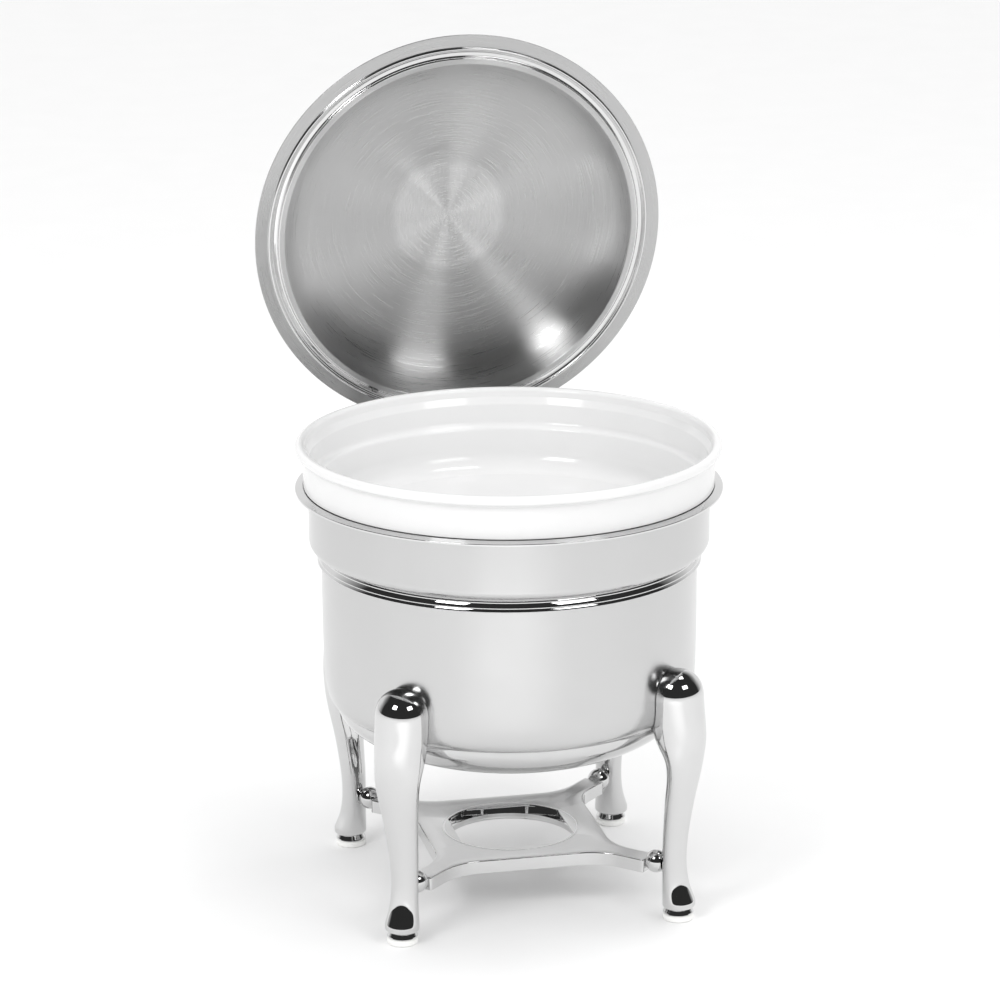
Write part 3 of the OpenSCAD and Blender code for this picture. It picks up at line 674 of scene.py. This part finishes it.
# %% [markdown]
# ## What stays as it came
#
# The balls, the hinge and the screws are already the right shape in the frame, so they only take
# a finish. A node's object has one material slot for each colour it came with.

# %% Finish the frame's own nodes
KEPT = {
    chrome: ["plate_balls", "hinge_plate", "hinge_ears", "hinge_arm_left", "hinge_arm_right",
             "lid_handle_bar", "lid_handle_posts"],
    plain_steel: ["leg_screws", "leg_washers", "plate_studs", "plate_nuts", "bracket_screws",
                  "bracket_nuts", "hinge_pins"],
    nylon: ["hinge_washers"],
    rubber: ["stop_pads"],
}
for finish, names in KEPT.items():
    for name in names:
        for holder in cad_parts[name].material_slots:
            holder.material = finish
        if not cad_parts[name].material_slots:
            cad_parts[name].data.materials.append(finish)
    print(finish.name, "on", len(names), "nodes of the frame")

# %% [markdown]
# ## Floor, light and camera
#
# Bright metal shows the room, so the room matters more than the shaders. The table is white and
# large, and lights the upright walls from below. The room above it is dark towards the viewer,
# with small softboxes, and pale behind: that gives the knees and the mouth ring their black, with
# a small white window in each. A picture of a real studio wrapped round the scene would do this
# in one step, but three area lights and a plain ramp can be moved one at a time.

# %% Floor
TABLE_HALF = 30  # metres: its edge is past the horizon of every view

floor_mesh = bpy.data.meshes.new("table")
square = [(x * TABLE_HALF, y * TABLE_HALF, 0) for x, y in ((-1, -1), (1, -1), (1, 1), (-1, 1))]
floor_mesh.from_pydata(square, [], [(0, 1, 2, 3)])
table = bpy.data.objects.new("table", floor_mesh)
bpy.context.scene.collection.objects.link(table)
floor_mesh.materials.append(moulded("white_paper_table", ("#f3f3f3", "#f5f5f5"), 0.9, 4.0, 0.02))


# %% Softboxes
def lamp(name, kind, place, watts):
    """A light of one kind at a place in metres, with its data, ready to be shaped."""
    data = bpy.data.lights.new(name, kind)
    data.energy = watts
    o = bpy.data.objects.new(name, data)
    bpy.context.scene.collection.objects.link(o)
    o.location = place
    return o, data


def softbox(name, azimuth, elevation, distance, width, height, watts, aim=(0, 0, 0.25)):
    """An area light seen from aim at that azimuth (0 is the front, 90 the right) and elevation in
    degrees: its direction is (sin a cos e, -cos a cos e, sin e)."""
    a, e = math.radians(azimuth), math.radians(elevation)
    way = np.array([math.sin(a) * math.cos(e), -math.cos(a) * math.cos(e), math.sin(e)])
    o, data = lamp(name, "AREA", np.array(aim) + way * distance, watts)
    data.shape, data.size, data.size_y = "RECTANGLE", width, height
    o.rotation_mode = "QUATERNION"
    o.rotation_quaternion = Vector(way).to_track_quat("Z", "Y")


softbox("softbox_left", -50, 40, 2.6, 0.75, 0.75, 15)
softbox("softbox_right", 30, 36, 2.6, 1.0, 0.7, 9)
softbox("softbox_top", 100, 74, 2.2, 0.5, 0.5, 6)

# %% [markdown]
# The drum's wall faces level and the viewer looks down, so it mirrors the table about 0.7 m in
# front. A spot from above makes that patch of table brighter, and the wall shows it as a broad
# upright band of light. The spot itself isn't reflected.

# %% A brighter patch of table in front
spot, data = lamp("table_spot", "SPOT", (-0.18, -0.84, 1.5), 34)
data.spot_size, data.spot_blend, data.shadow_soft_size = math.radians(36), 1.0, 0.1
spot.visible_glossy = False

# %% Room
DARK, PALE, FILL, BACKDROP = 0.035, 0.95, 1.06, 1.05
TO_THE_BACK = (0.16, 0.987, 0.0)

world = bpy.data.worlds.new("studio_room")
bpy.context.scene.world = world
world.use_nodes = True
w = world.node_tree
w.nodes.clear()
ray = add(w, "ShaderNodeLightPath")
look = add(w, "ShaderNodeTexCoord")
parts = add(w, "ShaderNodeSeparateXYZ", {0: look.outputs["Generated"]})
behind = add(w, "ShaderNodeVectorMath", {0: look.outputs["Generated"], 1: TO_THE_BACK},
             operation="DOT_PRODUCT")
pale = add(w, "ShaderNodeMapRange", {"Value": behind.outputs["Value"], "From Min": 0.15,
                                     "From Max": 0.65, "To Min": 0.0, "To Max": 1.0})
low = add(w, "ShaderNodeMapRange", {"Value": parts.outputs[2], "From Min": 0.75, "From Max": 0.35,
                                    "To Min": 0.0, "To Max": 1.0})
back_wall = add(w, "ShaderNodeMath", {0: pale.outputs[0], 1: low.outputs[0]}, operation="MULTIPLY")
room = add(w, "ShaderNodeMapRange", {"Value": back_wall.outputs[0], "To Min": DARK, "To Max": PALE})
glossy = add(w, "ShaderNodeMath", {0: ray.outputs["Is Glossy Ray"], 1: 0.5}, operation="GREATER_THAN")
level = add(w, "ShaderNodeMix", {0: glossy.outputs[0], 2: FILL, 3: room.outputs[0]}, data_type="FLOAT")
seen = add(w, "ShaderNodeMix", {0: ray.outputs["Is Camera Ray"], 2: level.outputs[0], 3: BACKDROP},
           data_type="FLOAT")
sky = add(w, "ShaderNodeBackground", {"Color": (1, 1, 1, 1), "Strength": seen.outputs[0]})
add(w, "ShaderNodeOutputWorld", {"Surface": sky.outputs[0]})
bpy.context.scene.view_settings.view_transform = "Standard"

# %% Camera
RIGHT, UP, AHEAD = (0.97656, -0.21519, -0.00471), (0.06384, 0.26867, 0.96112), (0.20556, 0.93889, -0.2761)

lens = bpy.data.cameras.new("camera")
lens.sensor_width, lens.lens = 36.0, 147.97
lens.clip_start, lens.clip_end = 0.1, 100.0
camera = bpy.data.objects.new("camera", lens)
bpy.context.scene.collection.objects.link(camera)
camera.rotation_mode = "QUATERNION"
camera.rotation_quaternion = Matrix([[RIGHT[i], UP[i], -AHEAD[i]] for i in range(3)]).to_quaternion()
camera.location = (-0.61319, -2.7704, 1.10662)
bpy.context.scene.camera = camera
print("camera:", round((camera.location - Vector((0, 0, 0.25))).length, 2), "m from the chafer")
